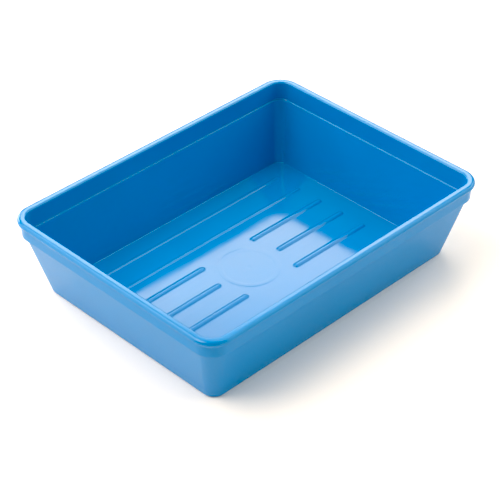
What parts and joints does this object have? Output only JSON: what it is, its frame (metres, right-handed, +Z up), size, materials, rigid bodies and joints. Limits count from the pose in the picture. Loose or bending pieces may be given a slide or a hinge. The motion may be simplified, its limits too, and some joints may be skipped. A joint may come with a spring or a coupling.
{
  "type": "mud pan",
  "caption": "Wide rectangular blue plastic pan for joint compound, with flared walls, beaded rim, inner ledge and a ribbed floor.",
  "frame": {"origin": "middle of the flat base, on the surface the pan stands on", "axes": "+X along the long side, +Y along the short side, +Z up out of the open top"},
  "size_m": [0.37, 0.2784, 0.087],
  "materials": {
    "blue_plastic": "smooth glossy moulded polypropylene, mid blue"
  },
  "bodies": {
    "root": {"tray": "blue_plastic"}
  },
  "joints": []
}
